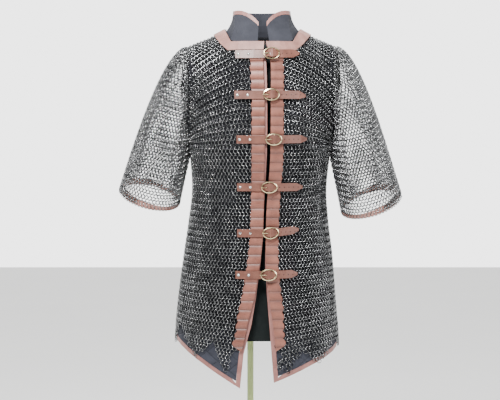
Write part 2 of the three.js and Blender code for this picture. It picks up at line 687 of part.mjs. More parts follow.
function addCollarBindings() {
  const turns = [6, 12, 20, 30, 42, 56, 72, 90];
  for (const [side, word] of [[-1, "left"], [1, "right"]]) {
    const lay = (depth) => turns.map((turn) => {
      const top = collarTop(turn);
      const low = top * bindingShare(side, turn) + (SEAM * 1.2) / 60;
      return [collarPoint(side, turn, top, depth), collarPoint(side, turn, low, depth)];
    });
    const { points, faces } = wallMesh(lay(LINING_WALL.out), lay(LINING_WALL.in), false);
    addPiece(`collar_binding_${word}`, points, faces, finish.pale);
  }
}

// Leather laid on the mail: neck band and scalloped strips
function addNeckBand() {
  const places = [];
  const station = (side, face, row) => {
    const lowHeight = face < 0 ? row.lowerFront : row.lowerBack;
    const lowLevel = lowHeight > 0 ? levelOf(row.lowerColumn, lowHeight) : 1;
    const level = neckLevel(face, row.column);
    return [0, 0.5, 1].map((t) => (depth) => (
      panelLaid(side, face, "mail", mix(row.column, row.lowerColumn, t), mix(level, lowLevel, t), row.ease - depth)));
  };
  BAND_STATIONS.forEach((row) => places.push(station(-1, -1, row)));
  BAND_STATIONS.slice(0, -1).reverse().forEach((row) => places.push(station(-1, 1, row)));
  BAND_STATIONS.slice(1, -1).forEach((row) => places.push(station(1, 1, row)));
  BAND_STATIONS.slice().reverse().forEach((row) => places.push(station(1, -1, row)));
  addStrip("neck_band", places, finish.pale);
}

function scallopReach(height) {
  const width = mix(STRIP.lowWidth, STRIP.width, THREE.MathUtils.smoothstep(height, 661, 757));
  const phase = ((height - STRIP.bottom) / STRIP.pitch) % 1;
  return width - STRIP.bulge + STRIP.bulge * Math.abs(Math.sin(Math.PI * phase)) ** 0.6;
}

function addScallopStrips() {
  const perScallop = 3;
  const count = Math.floor((STRIP.top - STRIP.bottom) / STRIP.pitch) * perScallop;
  for (const [side, word] of [[-1, "left"], [1, "right"]]) {
    const stations = [];
    for (let i = 0; i <= count; i += 1) {
      const height = mix(STRIP.bottom, STRIP.top, i / count);
      const edge = tableValue(FRONT_EDGES, "height", height, edgeName(side, "mail"));
      const slant = STRIP.slant * Math.max(1 - i / (2 * perScallop), 0);
      stations.push([0.3, scallopReach(height)].map((reach, k) => (depth) => (
        frontLaid(edge + side * reach, height + (k ? slant : -slant / 2), -depth))));
    }
    addStrip(`scallop_strip_${word}`, stations, finish.strap);
  }
}

// Solids that are cut or joined
function toSolid(geometry) {
  const bare = geometry.clone();
  bare.deleteAttribute("normal");
  bare.deleteAttribute("uv");
  const merged = mergeVertices(bare, 1e-4);
  return new wasm.Manifold(new wasm.Mesh({
    numProp: 3,
    vertProperties: merged.attributes.position.array,
    triVerts: new Uint32Array(merged.index.array),
  }));
}

function fromSolid(solid) {
  const { vertProperties, triVerts } = solid.getMesh();
  const geometry = new THREE.BufferGeometry();
  geometry.setAttribute("position", new THREE.BufferAttribute(new Float32Array(vertProperties), 3));
  geometry.setIndex([...triVerts]);
  return geometry;
}

// Bends a piece modelled flat (x along the strap, y as height over the mail, z across) to the front
function layOnFront(shape, strap) {
  const bare = shape.clone();
  bare.deleteAttribute("normal");
  bare.deleteAttribute("uv");
  const geometry = mergeVertices(bare, 1e-4);
  geometry.setIndex([...geometry.index.array].reverse());
  const place = geometry.attributes.position;
  const slope = strap.rise / (strap.right - strap.buckle);
  for (let i = 0; i < place.count; i += 1) {
    const x = place.getX(i);
    const climb = Math.max(x, 0) * slope;
    const point = frontLaid(strap.buckle + x, strap.height + place.getZ(i) + climb, place.getY(i));
    place.setXYZ(i, point.x, point.y, point.z);
  }
  return geometry;
}

// The strap's rise over the mail along its length: under the rims and over the bar
function strapLift(x) {
  const over = BUCKLE.lift + BUCKLE.bar + CHAPE.thick + 1.1;
  const rim = BUCKLE.half - BUCKLE.wire;
  const near = Math.min(Math.abs(x) / rim, 1);
  return mix(over, STRAP_REST + (x > 0 ? CHAPE.thick + 0.5 : 0), THREE.MathUtils.smoothstep(near, 0, 1));
}

function strapPath(strap) {
  const left = strap.left - strap.buckle;
  const right = strap.right - strap.buckle;
  const stops = [left, left * 0.75, left * 0.5, -26, -18, -13, -8, -2, 2, 8, 13, 18, 26, 42];
  return [...stops.filter((x) => x < right - 18), right - 14, right];
}

function strapGeometry(strap) {
  const tip = strap.right - strap.buckle;
  const low = [];
  const high = [];
  for (const x of strapPath(strap)) {
    const waist = Math.abs(x) > 6 && Math.abs(x) < 17 ? STRAP_WAIST : 1;
    const half = (x >= tip ? STRAP_WIDTH * 0.16 : STRAP_WIDTH / 2) * waist;
    const foot = strapLift(x) - (x > CHAPE.length ? Math.min(x - CHAPE.length, 12) / 12 : 0) * CHAPE.thick;
    low.push([new THREE.Vector3(x, foot, -half), new THREE.Vector3(x, foot, half)]);
    high.push([new THREE.Vector3(x, foot + STRAP_THICK, -half), new THREE.Vector3(x, foot + STRAP_THICK, half)]);
  }
  const { points, faces } = wallMesh(high, low, false);
  return closedGeometry(points, faces);
}

function closedGeometry(points, faces) {
  const geometry = new THREE.BufferGeometry();
  let volume = 0;
  for (let i = 0; i < faces.length; i += 3) {
    volume += points[faces[i]].dot(points[faces[i + 1]].clone().cross(points[faces[i + 2]]));
  }
  geometry.setAttribute("position", new THREE.BufferAttribute(new Float32Array(points.flatMap((p) => [p.x, p.y, p.z])), 3));
  geometry.setIndex(volume > 0 ? faces : faces.slice().reverse());
  return geometry;
}

function addStraps() {
  STRAPS.forEach((strap, i) => {
    const hole = new THREE.BoxGeometry(8.4, 12, 3.2).translate(-8.2, strapLift(-8.2), 0);
    const cut = toSolid(strapGeometry(strap)).subtract(toSolid(hole));
    addGeometry(`strap_${i + 1}`, layOnFront(fromSolid(cut), strap), finish.strap);
    addGeometry(`chape_${i + 1}`, layOnFront(chapeGeometry(), strap), finish.strap);
    addGeometry(`buckle_${i + 1}`, layOnFront(buckleGeometry(), strap), finish.brass);
    addGeometry(`prong_${i + 1}`, layOnFront(prongGeometry(), strap), finish.brass);
    for (const [k, word] of ["outer", "inner"].entries()) {
      const x = strap.left - strap.buckle + RIVET.inset + k * RIVET.spacing;
      addGeometry(`rivet_${i + 1}_${word}`, layOnFront(rivetGeometry(x), strap), finish.nickel);
    }
  });
}

// Short strap that holds the buckle's bar: a loop round the bar with two slotted cheeks
function chapeGeometry() {
  const clear = BUCKLE.bar + 0.3;
  const outer = clear + CHAPE.thick;
  const low = STRAP_REST - 0.2;
  const shape = new THREE.Shape();
  const steps = 5;
  const arc = (radius, from, to) => {
    const list = [];
    for (let i = 0; i <= steps; i += 1) {
      const a = mix(from, to, i / steps);
      list.push(new THREE.Vector2(radius * Math.cos(a), BUCKLE.lift + radius * Math.sin(a)));
    }
    return list;
  };
  const top = arc(outer, 0.25 * Math.PI, 1.35 * Math.PI);
  const back = arc(clear, 1.35 * Math.PI, 0.25 * Math.PI);
  const tail = [
    new THREE.Vector2(10, low),
    new THREE.Vector2(24, low),
    new THREE.Vector2(CHAPE.length, low),
    new THREE.Vector2(CHAPE.length, low + CHAPE.thick),
    new THREE.Vector2(24, low + CHAPE.thick),
    new THREE.Vector2(10.5, low + CHAPE.thick),
  ];
  shape.setFromPoints([...top, ...tail, ...back]);
  const slab = new THREE.ExtrudeGeometry(shape, { depth: CHAPE.width, bevelEnabled: false });
  slab.translate(0, 0, -CHAPE.width / 2);
  const slot = new THREE.BoxGeometry(6.4, 12, 3.6).translate(-1.9, BUCKLE.lift, 0);
  return fromSolid(toSolid(slab).subtract(toSolid(slot)));
}

function buckleGeometry() {
  const around = 16;
  const sides = 5;
  const outer = [];
  for (let i = 0; i < around; i += 1) {
    const a = (i / around) * Math.PI * 2;
    const out = new THREE.Vector3(Math.cos(a) / BUCKLE.half, 0, Math.sin(a) / BUCKLE.halfTall).normalize();
    const middle = new THREE.Vector3(
      (BUCKLE.half - BUCKLE.wire) * Math.cos(a),
      BUCKLE.lift,
      (BUCKLE.halfTall - BUCKLE.wire) * Math.sin(a),
    );
    const ring = [];
    for (let k = 0; k < sides; k += 1) {
      const b = ((k + 0.5) / sides) * Math.PI * 2;
      const spot = middle.clone().addScaledVector(out, BUCKLE.wire * Math.cos(b));
      ring.push(spot.setY(BUCKLE.lift + BUCKLE.wire * Math.sin(b)));
    }
    outer.push(ring);
  }
  const points = outer.flat();
  const faces = [];
  for (let i = 0; i < around; i += 1) {
    for (let k = 0; k < sides; k += 1) {
      const a = i * sides + k;
      const b = i * sides + ((k + 1) % sides);
      const c = ((i + 1) % around) * sides + ((k + 1) % sides);
      const d = ((i + 1) % around) * sides + k;
      faces.push(a, b, c, a, c, d);
    }
  }
  const bar = new THREE.CylinderGeometry(BUCKLE.bar, BUCKLE.bar, 2 * (BUCKLE.halfTall - BUCKLE.wire), 6);
  bar.rotateX(Math.PI / 2).translate(0, BUCKLE.lift, 0);
  return fromSolid(toSolid(closedGeometry(points, faces)).add(toSolid(bar)));
}

function prongGeometry() {
  const top = BUCKLE.lift + BUCKLE.wire + PRONG_RADIUS + 0.35;
  const path = new THREE.CatmullRomCurve3([
    new THREE.Vector3(-BUCKLE.bar - PRONG_RADIUS - 0.2, BUCKLE.lift, 0),
    new THREE.Vector3(-7, BUCKLE.lift + 1.2, 0),
    new THREE.Vector3(-BUCKLE.half + 5, top - 0.3, 0),
    new THREE.Vector3(-BUCKLE.half - 0.5, top, 0),
  ]);
  const shape = new THREE.Shape().absarc(0, 0, PRONG_RADIUS, 0, Math.PI * 2);
  return new THREE.ExtrudeGeometry(shape, { extrudePath: path, steps: 4, curveSegments: 3, bevelEnabled: false });
}

function rivetGeometry(x) {
  const foot = strapLift(x) + STRAP_THICK + 0.3;
  const profile = [
    new THREE.Vector2(0, 0),
    new THREE.Vector2(RIVET.radius, 0),
    new THREE.Vector2(RIVET.radius * 0.8, RIVET.dome * 0.7),
    new THREE.Vector2(0, RIVET.dome),
  ];
  return new THREE.LatheGeometry(profile, 8).translate(x, foot, 0);
}

// Dress form: the body's rings one step inside the lining, closed at neck, armholes and bottom
function formDepth(column, level) {
  const share = Math.max(level, 0);
  const neck = Math.max(1 - Math.abs(column - NECK_COLUMN), 0) * THREE.MathUtils.smoothstep(share, 0.6, 0.9);
  return FORM_DEPTH + FORM_NECK_CLEARANCE * neck
    + FORM_CLEARANCE * (1 - THREE.MathUtils.smoothstep(share, 0.45, 0.95));
}

function formHalf(side, face) {
  const columns = allColumns();
  const lists = columns.map((column) => panelLevels(face, column, FORM_BOTTOM));
  return lists[0].map((_, row) => columns.map((column, j) => {
    const level = lists[j][row];
    const point = panelLaid(side, face, "mail", column, level, -formDepth(column, level));
    if (column === LAST_COLUMN && level >= 0) point.x -= side * FORM_ARM_INSET;
    if (column === LAST_COLUMN && (level <= 0 || level > 0.999)) point.setY(0);
    if (column >= NECK_COLUMN && level > 0.999) point.setY(0);
    if (row === 0) point.setZ(FORM_BOTTOM);
    return point;
  }));
}

function addForm() {
  const points = [];
  const faces = [];
  const put = (p) => points.push(p) - 1;
  const grids = {};
  for (const face of [-1, 1]) {
    for (const side of [-1, 1]) grids[`${face}${side}`] = formHalf(side, face);
  }
  const rows = grids["-11"].length;
  const frontRow = (row) => [...grids["-1-1"][row].slice().reverse(), ...grids["-11"][row]];
  const backRow = (row) => [...grids["11"][row].slice().reverse(), ...grids["1-1"][row].slice(1)];
  const spread = (list) => list.map(put);
  const front = [];
  const back = [];
  for (let row = 0; row < rows; row += 1) {
    front.push(spread(frontRow(row)));
    back.push(spread(backRow(row)));
  }
  const sheet = (grid) => {
    for (let i = 0; i < rows - 1; i += 1) {
      for (let j = 0; j < grid[0].length - 1; j += 1) {
        faces.push(grid[i][j], grid[i][j + 1], grid[i + 1][j + 1], grid[i][j], grid[i + 1][j + 1], grid[i + 1][j]);
      }
    }
  };
  sheet(front);
  sheet(back);
  const fan = (loop, lift) => {
    const middle = new THREE.Vector3();
    loop.forEach((k) => middle.add(points[k]));
    const hub = put(middle.divideScalar(loop.length).add(lift));
    loop.forEach((k, i) => faces.push(k, loop[(i + 1) % loop.length], hub));
  };
  const none = new THREE.Vector3();
  const low = [...front[0], ...back[0].slice(1, -1)];
  fan(low.reverse(), none);
  const count = front[0].length;
  const backCount = back[0].length;
  const neckFront = front[rows - 1].slice(ridgeCount(), count - ridgeCount());
  const neckBack = back[rows - 1].slice(ridgeCount(), backCount - ridgeCount());
  fan([...neckFront, ...neckBack.slice(1, -1)], none);
  const armRows = [];
  for (let row = HEM_ROWS + BODY_ROWS.length; row < rows; row += 1) armRows.push(row);
  const leftLoop = [...armRows.map((r) => front[r][0]), ...armRows.slice(1, -1).reverse().map((r) => back[r][backCount - 1])];
  const rightLoop = [...armRows.map((r) => front[r][count - 1]), ...armRows.slice(1, -1).reverse().map((r) => back[r][0])];
  fan(leftLoop, none);
  fan(rightLoop.reverse(), none);
  const geometry = new THREE.BufferGeometry();
  geometry.setAttribute("position", new THREE.BufferAttribute(new Float32Array(points.flatMap((p) => [p.x, p.y, p.z])), 3));
  geometry.setIndex(faces);
  addGeometry("dress_form", mergeVertices(geometry, 1e-3), finish.form);
}

function addStand() {
  const pole = new THREE.CylinderGeometry(POLE_RADIUS, POLE_RADIUS, FORM_BOTTOM - BASE.thick - 0.6, 20);
  pole.rotateX(Math.PI / 2).translate(-HANG_ASIDE, 0, (FORM_BOTTOM + BASE.thick) / 2);
  addGeometry("pole", pole, finish.wood);
  const bore = POLE_RADIUS + 0.35;
  const profile = [
    new THREE.Vector2(0, 0),
    new THREE.Vector2(BASE.radius, 0),
    new THREE.Vector2(BASE.radius, BASE.thick - BASE.round),
    new THREE.Vector2(BASE.radius - BASE.round * 0.3, BASE.thick - BASE.round * 0.3),
    new THREE.Vector2(BASE.radius - BASE.round, BASE.thick),
    new THREE.Vector2(BASE.hub, BASE.thick),
    new THREE.Vector2(BASE.hub - 8, BASE.hubTop),
    new THREE.Vector2(bore, BASE.hubTop),
    new THREE.Vector2(bore, BASE.thick),
    new THREE.Vector2(0, BASE.thick),
  ];
  const base = new THREE.LatheGeometry(profile, BASE.sides).rotateX(Math.PI / 2).translate(-HANG_ASIDE, 0, 0);
  addGeometry("base", base, finish.wood);
}

addMailPanels();
addSleeves();
addLining();
addBindings();
addCollar();
addCollarBindings();
addNeckBand();
addScallopStrips();
addStraps();
addForm();
addStand();
part.position.x = HANG_ASIDE;

export default part;
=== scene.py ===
import math

import bmesh
import bpy
import numpy as np
from mathutils import Matrix, Vector
from mathutils.bvhtree import BVHTree


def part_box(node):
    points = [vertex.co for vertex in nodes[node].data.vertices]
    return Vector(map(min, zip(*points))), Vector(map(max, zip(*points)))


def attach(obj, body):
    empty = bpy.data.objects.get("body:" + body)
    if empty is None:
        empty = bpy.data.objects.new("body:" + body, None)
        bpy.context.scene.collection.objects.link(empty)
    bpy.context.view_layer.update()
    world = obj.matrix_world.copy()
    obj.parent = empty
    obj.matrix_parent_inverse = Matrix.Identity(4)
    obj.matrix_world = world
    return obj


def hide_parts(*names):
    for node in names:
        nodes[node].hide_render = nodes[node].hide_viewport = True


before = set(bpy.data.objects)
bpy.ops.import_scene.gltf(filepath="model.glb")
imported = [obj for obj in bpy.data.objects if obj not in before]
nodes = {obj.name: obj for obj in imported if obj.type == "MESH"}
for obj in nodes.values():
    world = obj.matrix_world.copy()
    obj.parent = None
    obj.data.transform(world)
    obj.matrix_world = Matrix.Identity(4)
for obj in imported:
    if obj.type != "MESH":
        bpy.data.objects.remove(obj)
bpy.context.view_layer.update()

MM = 0.001
HANG_ASIDE = 25

# Body form of the mail, level by level, and the columns of its panels
BODY_LEVELS = [
    {"height": 540, "middle": -9, "half": 208, "front": 162, "back": 146},
    {"height": 655, "middle": -9, "half": 204, "front": 152, "back": 142},
    {"height": 735, "middle": -9, "half": 197, "front": 144, "back": 136},
    {"height": 856, "middle": -6, "half": 184, "front": 132, "back": 124},
    {"height": 937, "middle": -5, "half": 173, "front": 123, "back": 114},
    {"height": 1017, "middle": -3, "half": 166, "front": 119, "back": 107},
    {"height": 1117, "middle": -1, "half": 174, "front": 127, "back": 112},
]
SQUARENESS = 2.35
UNDERARM = 1117
COLUMNS = [
    {"turn": 0, "ridge": 0, "top": 1440, "left": 640, "right": 638, "back": 600},
    {"turn": 17, "ridge": 36, "top": 1437, "left": 626, "right": 620, "back": 620},
    {"turn": 20.5, "ridge": 50, "top": 1432, "left": 574, "right": 564, "back": 634},
    {"turn": 25, "ridge": 72, "top": 1421, "left": 612, "right": 603, "back": 655},
    {"turn": 30.5, "ridge": 92, "top": 1408, "left": 657, "right": 634, "back": 643},
    {"turn": 43.3, "ridge": 121, "top": 1392, "left": 612, "right": 597, "back": 612},
    {"turn": 53, "ridge": 143, "top": 1384, "left": 646, "right": 620, "back": 643},
    {"turn": 64, "ridge": 163, "top": 1376, "left": 688, "right": 650, "back": 676},
    {"turn": 77, "ridge": 179, "top": 1369, "left": 655, "right": 633, "back": 650},
    {"turn": 90, "ridge": 188, "top": 1364, "left": 626, "right": 614, "back": 622},
]
LAST_COLUMN = len(COLUMNS) - 1
NECK_COLUMN = 4
NECK_CORNER = 3
NECK_ASIDE = 5
SHOULDER_ASIDE = 3
NECK_FRONT = 1375
NECK_BACK = 1396
RIDGE_SQUARENESS = 2.3
ARMHOLE_DEPTH = 48
ARMHOLE_SWELL = 8
ARMHOLE_RAMP = 0.1
ARMHOLE_BLEND = 1.2
ARMHOLE_FALL = 1.5
ARMHOLE_REACH = (5, 7.4)
FRONT_EDGES = [
    {"height": 540, "mail_left": -60, "mail_right": 44, "lining_left": -51, "lining_right": 33},
    {"height": 627, "mail_left": -50, "mail_right": 37, "lining_left": -42, "lining_right": 26},
    {"height": 661, "mail_left": -40, "mail_right": 33, "lining_left": -30, "lining_right": 23},
    {"height": 709, "mail_left": -30, "mail_right": 27, "lining_left": -21, "lining_right": 20},
    {"height": 757, "mail_left": -17, "mail_right": 20, "lining_left": -13, "lining_right": 16},
    {"height": 817, "mail_left": -6, "mail_right": 12.5, "lining_left": -4, "lining_right": 10.5},
    {"height": 900, "mail_left": 3.8, "mail_right": 11, "lining_left": 5, "lining_right": 12},
    {"height": 997, "mail_left": 7.4, "mail_right": 14.6, "lining_left": 8.5, "lining_right": 16},
    {"height": 1092, "mail_left": 8.5, "mail_right": 21.6, "lining_left": 14, "lining_right": 23},
    {"height": 1235, "mail_left": 8.5, "mail_right": 22.8, "lining_left": 15, "lining_right": 24},
    {"height": 1335, "mail_left": 5.2, "mail_right": 22, "lining_left": 12, "lining_right": 23},
    {"height": 1376, "mail_left": 8, "mail_right": 12, "lining_left": 4, "lining_right": 12},
]
CUFFS = {
    -1: {"outer_x": -350, "outer_z": 1012, "inner_x": -205, "inner_z": 979},
    1: {"outer_x": 350, "outer_z": 999, "inner_x": 206, "inner_z": 957},
}
CUFF_HALF_DEPTH = 62
CUFF_FRONT_DROP = 24
SLEEVE_PULL = {
    "outer_start": (55, -20),
    "inner_start": (6, -32),
    "outer_end": (-45, 140),
    "inner_end": (-9, 48),
    "swell": 12,
}

# Mail
RING_RADIUS = 5.3
WIRE_RADIUS = 1.0
SLEEVE_WIRE_RADIUS = 1.3
RING_SPANS = 9
WIRE_SIDES = 3
RING_DEPTH = 1.5
RING_TILT = math.radians(28)
RING_DROOP = math.radians(-9)
BODY_LOOSE = 1.0
SLEEVE_LOOSE = 0.85
END_LOOSE = 1.6
COVERED_BY_STRIP = 17
STRIP_FOOT = 662
CLEAR_OF_HEM = 5
CLEAR_OF_NECK = 12
FRONT_MARGIN = 3
LOWEST_ROW = 545
ROW_PITCH = [
    {"height": 540, "row": 7.5, "ring": 9.0},
    {"height": 760, "row": 7.5, "ring": 8.9},
    {"height": 1000, "row": 8.1, "ring": 8.8},
    {"height": 1117, "row": 7.6, "ring": 9.6},
]
UPPER_MAIL_ROWS = 41
SKIRT_RISE = {-1: 0.16, 1: 0.28}
SKIRT_RISE_REACH = 90
SKIRT_RISE_TOP = 900
SLEEVE_LINES = 54
SLEEVE_ROW = 7.2

# Leather details
STITCH_LINE = 12.5
STITCH_PITCH = 6
STITCH_SIZE = (3.6, 0.9, 0.9)
SCALLOP_PITCH = 0.022
SCALLOP_TOP = 1.350
STITCHED_DOWN_TO = 560
HOLE_RADIUS = 1.4
HOLE_PITCH = 11
HOLES_FROM_BUCKLE = 5
HOLES_FROM_TIP = 9
STRAP_COUNT = 6
ABOVE_LEATHER = 0.12

# Finish of the lining, in metres above the floor, with the heights and the factor of the painted shade where
# the mail lies over it
PAINTED_SHADE_FADE = (0.62, 0.70)
PAINTED_SHADE_FACTOR = 0.22
QUILT_TILE = 0.042
QUILT_RELIEF = 0.004
SCALLOP_RELIEF = 0.003
# colour of the painted shade in the notch under each scallop
SCALLOP_PAINTED_SHADE = (0.45, 0.38, 0.36, 1)


def table_value(table, at, name, key="height"):
    last = len(table) - 1
    place = min(max(at, table[0][key]), table[last][key])
    i = 0
    while i < last - 1 and table[i + 1][key] < place:
        i += 1

    def slope(k):
        a, b = max(k - 1, 0), min(k + 1, last)
        return (table[b][name] - table[a][name]) / (table[b][key] - table[a][key])

    span = table[i + 1][key] - table[i][key]
    t = (place - table[i][key]) / span
    t2, t3 = t * t, t * t * t
    return (
        table[i][name] * (2 * t3 - 3 * t2 + 1)
        + slope(i) * span * (t3 - 2 * t2 + t)
        + table[i + 1][name] * (3 * t2 - 2 * t3)
        + slope(i + 1) * span * (t3 - t2)
    )


def mix(a, b, t):
    return a + (b - a) * t


def smooth(t, low=0.0, high=1.0):
    u = min(max((t - low) / (high - low), 0.0), 1.0)
    return u * u * (3 - 2 * u)


def column_value(column, name):
    i = min(int(column), LAST_COLUMN - 1)
    return mix(COLUMNS[i][name], COLUMNS[i + 1][name], column - i)


def roundness(angle, power):
    return (abs(math.sin(angle)) ** power + abs(math.cos(angle)) ** power) ** (-1 / power)


# The shirt's surface: side is -1 or 1 for the viewer's left or right, face -1 in front and 1 behind.
# A level is millimetres below the underarm, or 0 to 1 from there to the shoulder's ridge.
def edge_x(side, layer, height):
    return table_value(FRONT_EDGES, height, layer + ("_left" if side < 0 else "_right"))


def turn_at(side, face, layer, column, height):
    if column >= 1:
        return math.radians(column_value(column, "turn"))
    first = math.radians(COLUMNS[1]["turn"])
    start = 0.0
    if face < 0:
        middle = table_value(BODY_LEVELS, height, "middle")
        half = table_value(BODY_LEVELS, height, "half")
        start = math.asin(side * (edge_x(side, layer, height) - middle) / half)
    return mix(start, first, column)


def body_section(side, face, turn, height):
    rounded = roundness(turn, SQUARENESS)
    middle = table_value(BODY_LEVELS, height, "middle")
    half = table_value(BODY_LEVELS, height, "half")
    depth = table_value(BODY_LEVELS, height, "front" if face < 0 else "back")
    return Vector((
        middle + side * half * rounded * math.sin(turn),
        face * depth * rounded * math.cos(turn),
        height,
    ))


def ridge_x(side, column):
    share = max(column - NECK_COLUMN, 0) / (LAST_COLUMN - NECK_COLUMN)
    return mix(NECK_ASIDE, SHOULDER_ASIDE, share) + side * column_value(column, "ridge")


def armhole_point(side, face, q):
    tip = COLUMNS[LAST_COLUMN]["top"]
    under = body_section(side, face, math.pi / 2, UNDERARM)
    return Vector((
        mix(under.x, ridge_x(side, LAST_COLUMN), q) + side * ARMHOLE_SWELL * math.sin(math.pi * q),
        face * ARMHOLE_DEPTH * math.sin(math.pi * q),
        mix(UNDERARM, tip, (1 - math.cos(math.pi * q)) / 2),
    ))


def panel_point(side, face, layer, column, level):
    if level <= 0:
        height = UNDERARM + level
        return body_section(side, face, turn_at(side, face, layer, column, height), height)
    angle = level * math.pi / 2
    rounded = roundness(angle, RIDGE_SQUARENESS)
    chest = body_section(side, face, turn_at(side, face, layer, column, UNDERARM), UNDERARM)
    height = mix(UNDERARM, column_value(column, "top"), rounded * math.sin(angle))
    point = Vector((
        mix(chest.x, ridge_x(side, column), level),
        chest.y * rounded * math.cos(angle),
        height,
    ))
    if column < 1 and face < 0:
        one = body_section(side, face, math.radians(COLUMNS[1]["turn"]), UNDERARM)
        point.x = mix(edge_x(side, layer, height), mix(one.x, ridge_x(side, 1), level), column)
    share = max(column - NECK_COLUMN, 0) / (LAST_COLUMN - NECK_COLUMN)
    ramp = smooth(level, 0, ARMHOLE_RAMP)
    point = point.lerp(armhole_point(side, face, level), ramp * share ** ARMHOLE_BLEND)
    reach = smooth(column, *ARMHOLE_REACH)
    least = (ARMHOLE_DEPTH + ARMHOLE_FALL * (LAST_COLUMN - column)) * math.sin(math.pi * level) * reach
    point.y = face * max(abs(point.y), ramp * least)
    return point


def panel_frame(side, face, layer, column, level):
    """The point, the way along the row, and the way out of the cloth."""
    c0, c1 = max(column - 0.04, 0), min(column + 0.04, LAST_COLUMN)
    step = 0.01 if level > 0 else 1
    l0 = max(level - step, 1e-4) if level > 0 else level - step
    l1 = min(level + step, 1) if level > 0 else level
    across = panel_point(side, face, layer, c1, level) - panel_point(side, face, layer, c0, level)
    upward = panel_point(side, face, layer, column, l1) - panel_point(side, face, layer, column, l0)
    out = across.cross(upward) * (-side * face)
    return panel_point(side, face, layer, column, level), across.normalized(), out.normalized()


def level_of(column, height):
    if height <= UNDERARM:
        return height - UNDERARM
    share = min((height - UNDERARM) / (column_value(column, "top") - UNDERARM), 1)
    rest = (1 - share ** RIDGE_SQUARENESS) ** (1 / RIDGE_SQUARENESS)
    return math.atan2(share, rest) * 2 / math.pi


def neck_level(face, column):
    if column >= NECK_COLUMN:
        return 1.0
    low = NECK_FRONT if face < 0 else NECK_BACK
    rise = max(column - NECK_CORNER, 0)
    return level_of(column, mix(low, COLUMNS[NECK_COLUMN]["top"], rise))


def hem_height(side, face, column):
    if face > 0 and column < LAST_COLUMN - 0.02:
        return column_value(column, "back")
    return column_value(column, "left" if side < 0 else "right")


def cuff_point(side, face, q):
    cuff = CUFFS[side]
    phi = math.pi * (1 - q)
    return Vector((
        mix(cuff["outer_x"], cuff["inner_x"], 0.5) + (cuff["outer_x"] - cuff["inner_x"]) / 2 * math.cos(phi),
        face * CUFF_HALF_DEPTH * math.sin(phi),
        mix(cuff["outer_z"], cuff["inner_z"], 0.5) + (cuff["outer_z"] - cuff["inner_z"]) / 2 * math.cos(phi)
        + face * CUFF_FRONT_DROP * math.sin(phi),
    ))


def sleeve_point(side, face, q, along):
    phi = math.pi * (1 - q)
    outer = (1 + math.cos(phi)) / 2
    start = armhole_point(side, face, q)
    end = cuff_point(side, face, q)
    swell = face * SLEEVE_PULL["swell"] * math.sin(phi)
    first = [mix(SLEEVE_PULL["inner_start"][k], SLEEVE_PULL["outer_start"][k], outer) for k in (0, 1)]
    last = [mix(SLEEVE_PULL["inner_end"][k], SLEEVE_PULL["outer_end"][k], outer) for k in (0, 1)]
    one = start + Vector((side * first[0], swell, first[1]))
    two = end + Vector((side * last[0], swell / 2, last[1]))
    t, s = along, 1 - along
    return start * s ** 3 + one * (3 * s * s * t) + two * (3 * s * t * t) + end * t ** 3


# Meshes
def keep(piece, node_names, look):
    piece.data.materials.clear()
    piece.data.materials.append(look)
    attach(piece, "root")
    if node_names:
        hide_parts(*node_names)
    return piece


def object_from(name, bm):
    mesh = bpy.data.meshes.new(name)
    bm.to_mesh(mesh)
    bm.free()
    for polygon in mesh.polygons:
        polygon.use_smooth = True
    piece = bpy.data.objects.new(name, mesh)
    bpy.context.scene.collection.objects.link(piece)
    return piece


def smooth_copy(node_name, angle=40):
    """A copy of a solid with its points merged and its shading smooth but at sharp corners."""
    bm = bmesh.new()
    bm.from_mesh(nodes[node_name].data)
    bmesh.ops.remove_doubles(bm, verts=bm.verts, dist=2e-5)
    for edge in bm.edges:
        edge.smooth = edge.calc_face_angle(0) < math.radians(angle)
    piece = object_from(node_name + "_smooth", bm)
    return piece


# Small shapes that are repeated: arrays of places carry one template to each
def template_ring(radius, wire, spans, sides):
    bm = bmesh.new()
    circle = bmesh.ops.create_circle(bm, segments=sides, radius=wire)["verts"]
    bmesh.ops.rotate(bm, verts=circle, cent=(0, 0, 0), matrix=Matrix.Rotation(math.pi / 2, 3, "X"))
    bmesh.ops.translate(bm, verts=circle, vec=(radius, 0, 0))
    bmesh.ops.spin(
        bm, geom=bm.edges[:], cent=(0, 0, 0), axis=(0, 0, 1), angle=2 * math.pi,
        steps=spans, use_merge=True,
    )
    bmesh.ops.remove_doubles(bm, verts=bm.verts, dist=1e-4)
    bmesh.ops.recalc_face_normals(bm, faces=bm.faces)
    return bm


def template_stitch(length, width, height):
    bm = bmesh.new()
    bmesh.ops.create_icosphere(bm, subdivisions=1, radius=0.5)
    bmesh.ops.scale(bm, verts=bm.verts, vec=(length, width, height))
    return bm


def template_arrays(bm):
    bm.verts.ensure_lookup_table()
    points = np.array([v.co[:] for v in bm.verts])
    count = max(len(f.verts) for f in bm.faces)
    corners = np.array([[v.index for v in f.verts] for f in bm.faces if len(f.verts) == count])
    bm.free()
    return points, corners


def joined_copies(name, template, places):
    """One mesh with the template at each place: a centre and three axes as columns."""
    points, corners = template
    centres = np.array([p[0][:] for p in places])
    axes = np.array([[p[1][:], p[2][:], p[3][:]] for p in places])
    verts = np.einsum("vk,nkc->nvc", points, axes) + centres[:, None, :]
    verts[:, :, 0] += HANG_ASIDE
    verts = (verts * MM).reshape(-1, 3)
    faces = (corners[None, :, :] + np.arange(len(places))[:, None, None] * len(points)).reshape(-1)
    per = corners.shape[1]
    mesh = bpy.data.meshes.new(name)
    mesh.vertices.add(len(verts))
    mesh.vertices.foreach_set("co", verts.ravel())
    mesh.loops.add(len(faces))
    mesh.loops.foreach_set("vertex_index", faces.astype(np.int32))
    mesh.polygons.add(len(faces) // per)
    mesh.polygons.foreach_set("loop_start", np.arange(0, len(faces), per, dtype=np.int32))
    mesh.update(calc_edges=True)
    mesh.validate()
    mesh.polygons.foreach_set("use_smooth", np.ones(len(mesh.polygons), dtype=bool))
    piece = bpy.data.objects.new(name, mesh)
    bpy.context.scene.collection.objects.link(piece)
    return piece


